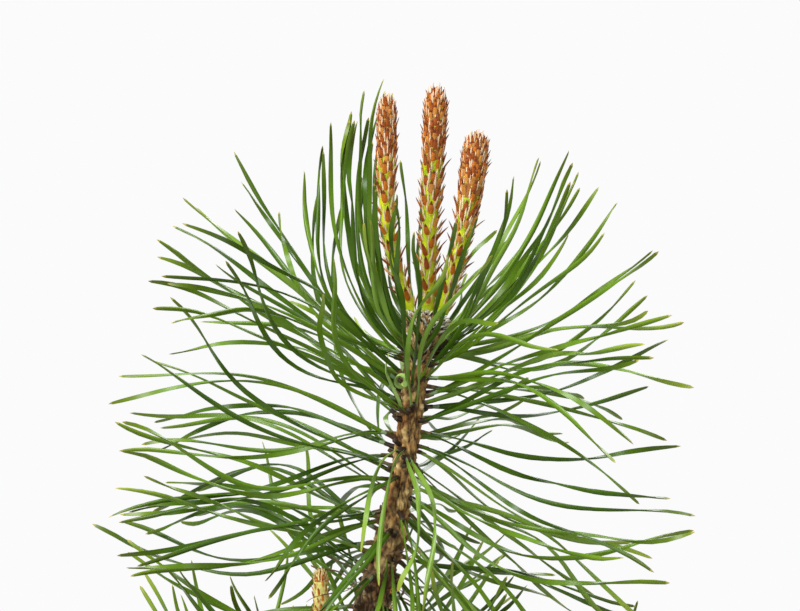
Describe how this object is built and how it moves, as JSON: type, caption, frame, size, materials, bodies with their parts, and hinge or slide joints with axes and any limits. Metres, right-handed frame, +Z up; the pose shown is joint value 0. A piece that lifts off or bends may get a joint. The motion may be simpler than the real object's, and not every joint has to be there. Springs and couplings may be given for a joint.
{
  "type": "potted mugo pine",
  "caption": "Young mugo pine with long paired needles and upright spring candles, growing in a plain terracotta pot.",
  "frame": {"origin": "middle of the pot's flat underside", "axes": "+Z up along the plant, -Y towards the front, +X to the right as the picture shows it"},
  "size_m": [0.2084, 0.1988, 0.3011],
  "materials": {
    "terracotta": "unglazed fired clay, matt, with faint throwing lines",
    "potting_soil": "moist potting mix with bits of composted bark",
    "bark": "rough orange-brown flakes with dark furrows",
    "candle": "soft shoot, orange-brown papery scales over yellow-green",
    "needles": "smooth green needles with a soft waxy sheen"
  },
  "bodies": {
    "root": {"pot": "terracotta", "soil": "potting_soil", "trunk": "bark", "candle_left": "candle", "candle_centre": "candle", "candle_right": "candle", "bough_low_right": "bark", "candle_low_right": "candle", "bough_low_back": "bark", "candle_low_back": "candle", "bough_low_left": "bark", "candle_low_left": "candle", "bough_low_front": "bark", "candle_low_front": "candle", "bough_high_right": "bark", "candle_high_right": "candle", "bough_high_back": "bark", "candle_high_back": "candle", "bough_high_left": "bark", "candle_high_left": "candle", "needles_crown_right": "needles", "needles_crown_back": "needles", "needles_crown_left": "needles", "needles_crown_front": "needles", "needles_upper_right": "needles", "needles_upper_back": "needles", "needles_upper_left": "needles", "needles_upper_front": "needles", "needles_middle_right": "needles", "needles_middle_back": "needles", "needles_middle_left": "needles", "needles_middle_front": "needles", "needles_lower_right": "needles", "needles_lower_back": "needles", "needles_lower_left": "needles", "needles_lower_front": "needles", "needles_foot_right": "needles", "needles_foot_left": "needles", "needles_low_right": "needles", "needles_low_back": "needles", "needles_low_left": "needles", "needles_low_front": "needles", "needles_high_right": "needles", "needles_high_back": "needles", "needles_high_left": "needles"}
  },
  "joints": []
}
